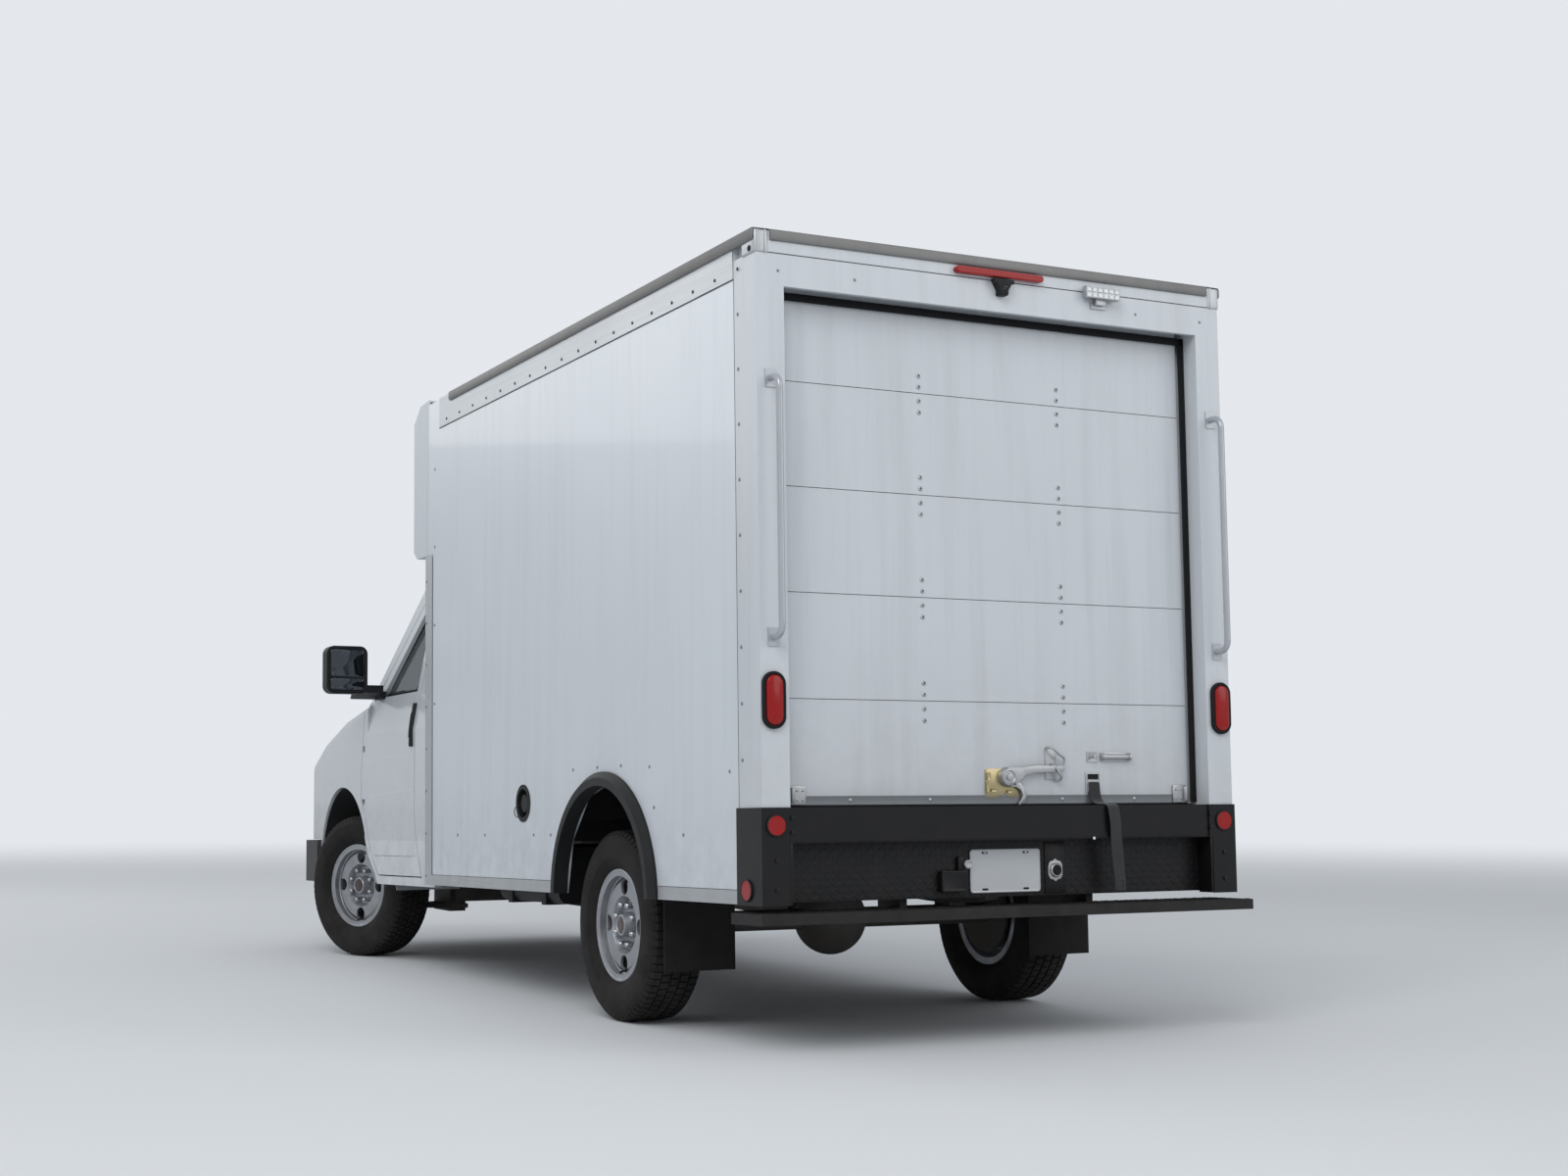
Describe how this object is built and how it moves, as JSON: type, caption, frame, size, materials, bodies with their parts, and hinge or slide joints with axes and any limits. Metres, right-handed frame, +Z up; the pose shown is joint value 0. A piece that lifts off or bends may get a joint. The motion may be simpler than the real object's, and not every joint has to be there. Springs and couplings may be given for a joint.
{
  "type": "box truck",
  "caption": "Delivery truck with a tall square load body behind a short van cab, roll-up rear door, wide rear step and nose cap over the cab.",
  "frame": {"origin": "middle of the truck's overall length and width, on the ground under its tyres", "axes": "+X forward along the length, +Y to the driver's left, +Z up"},
  "size_m": [5.8569, 2.58, 2.8683],
  "materials": {
    "body_white": "gloss",
    "cab_white": "gloss",
    "cap_white": "gloss",
    "aluminium": "brushed",
    "zinc": "satin",
    "chassis_black": "matte",
    "engine_grey": "matte",
    "cast_grey": "matte",
    "exhaust_steel": "dull",
    "floor_wood": "worn",
    "strap_black": "woven",
    "step_black": "satin",
    "black_rubber": "matte",
    "black_plastic": "textured",
    "red_lens": "gloss",
    "lamp_clear": "gloss",
    "cabin_grey": "textured",
    "seat_fabric": "woven",
    "window_glass": "clear",
    "tyre": "matte",
    "wheel_steel": "satin"
  },
  "bodies": {
    "chassis": {"frame": "chassis_black", "engine": "engine_grey", "driveline": "chassis_black", "rear_axle": "chassis_black", "front_suspension": "chassis_black", "fuel_tank": "black_plastic", "fuel_filler": "black_plastic", "exhaust": "exhaust_steel", "box_floor": "floor_wood", "wheel_boxes": "aluminium", "box_wall_left": "body_white", "box_wall_right": "body_white", "box_bulkhead": "body_white", "box_roof": "body_white", "box_rails": "aluminium", "rear_frame": "body_white", "nose_cap": "cap_white", "roll_door": "body_white", "door_latch": "zinc", "pull_strap": "strap_black", "grab_handles": "aluminium", "rear_bumper": "step_black", "rear_step": "step_black", "arch_flares": "black_rubber", "mud_flaps": "black_rubber", "rear_lamps": "red_lens", "cab_body": "cab_white", "cab_floor": "cabin_grey", "fenders": "cab_white", "grille": "black_plastic", "headlamps": "lamp_clear", "front_bumper": "black_plastic", "windshield": "window_glass", "dash": "cabin_grey", "seats": "seat_fabric", "steering_wheel": "black_plastic"},
    "door_left": {"door_left": "cab_white", "glass_left": "window_glass", "mirror_left": "black_plastic"},
    "door_right": {"door_right": "cab_white", "glass_right": "window_glass", "mirror_right": "black_plastic"},
    "hood": {"hood": "cab_white"},
    "knuckle_left": {"knuckle_left": "cast_grey"},
    "knuckle_right": {"knuckle_right": "cast_grey"},
    "wheel_rear_left": {"rim_rear_left": "wheel_steel", "tyre_rear_left": "tyre"},
    "wheel_rear_right": {"rim_rear_right": "wheel_steel", "tyre_rear_right": "tyre"},
    "wheel_front_left": {"rim_front_left": "wheel_steel", "tyre_front_left": "tyre"},
    "wheel_front_right": {"rim_front_right": "wheel_steel", "tyre_front_right": "tyre"}
  },
  "joints": [
    {"name": "door_left_hinge", "type": "hinge", "parent": "chassis", "child": "door_left", "pos_m": [1.62916, 1, 0.88434], "axis": [-0.024, 0, -0.9997], "range_deg": [0, 68]},
    {"name": "door_right_hinge", "type": "hinge", "parent": "chassis", "child": "door_right", "pos_m": [1.62916, -1, 0.88434], "axis": [0.024, 0, 0.9997], "range_deg": [0, 68]},
    {"name": "hood_hinge", "type": "hinge", "parent": "chassis", "child": "hood", "pos_m": [1.99241, 0, 1.26573], "axis": [0, -1, 0], "range_deg": [0, 45]},
    {"name": "steer_left", "type": "hinge", "parent": "chassis", "child": "knuckle_left", "pos_m": [2.001, 0.79, 0.374], "axis": [0, 0, 1], "range_deg": [-57, 13]},
    {"name": "steer_right", "type": "hinge", "parent": "chassis", "child": "knuckle_right", "pos_m": [2.001, -0.79, 0.374], "axis": [0, 0, 1], "range_deg": [-57, 13]},
    {"name": "spin_rear_left", "type": "hinge", "parent": "chassis", "child": "wheel_rear_left", "pos_m": [-1.53, 0.863, 0.374], "axis": [0, 1, 0], "continuous": true},
    {"name": "spin_rear_right", "type": "hinge", "parent": "chassis", "child": "wheel_rear_right", "pos_m": [-1.53, -0.863, 0.374], "axis": [0, 1, 0], "continuous": true},
    {"name": "spin_front_left", "type": "hinge", "parent": "knuckle_left", "child": "wheel_front_left", "pos_m": [1.97103, 0.86417, 0.374], "axis": [-0.3746, 0.9272, 0], "continuous": true},
    {"name": "spin_front_right", "type": "hinge", "parent": "knuckle_right", "child": "wheel_front_right", "pos_m": [2.03097, -0.86417, 0.374], "axis": [-0.3746, 0.9272, 0], "continuous": true}
  ],
  "couplings": [
    {"joint": "steer_right", "follows": "steer_left", "ratio": 1}
  ]
}
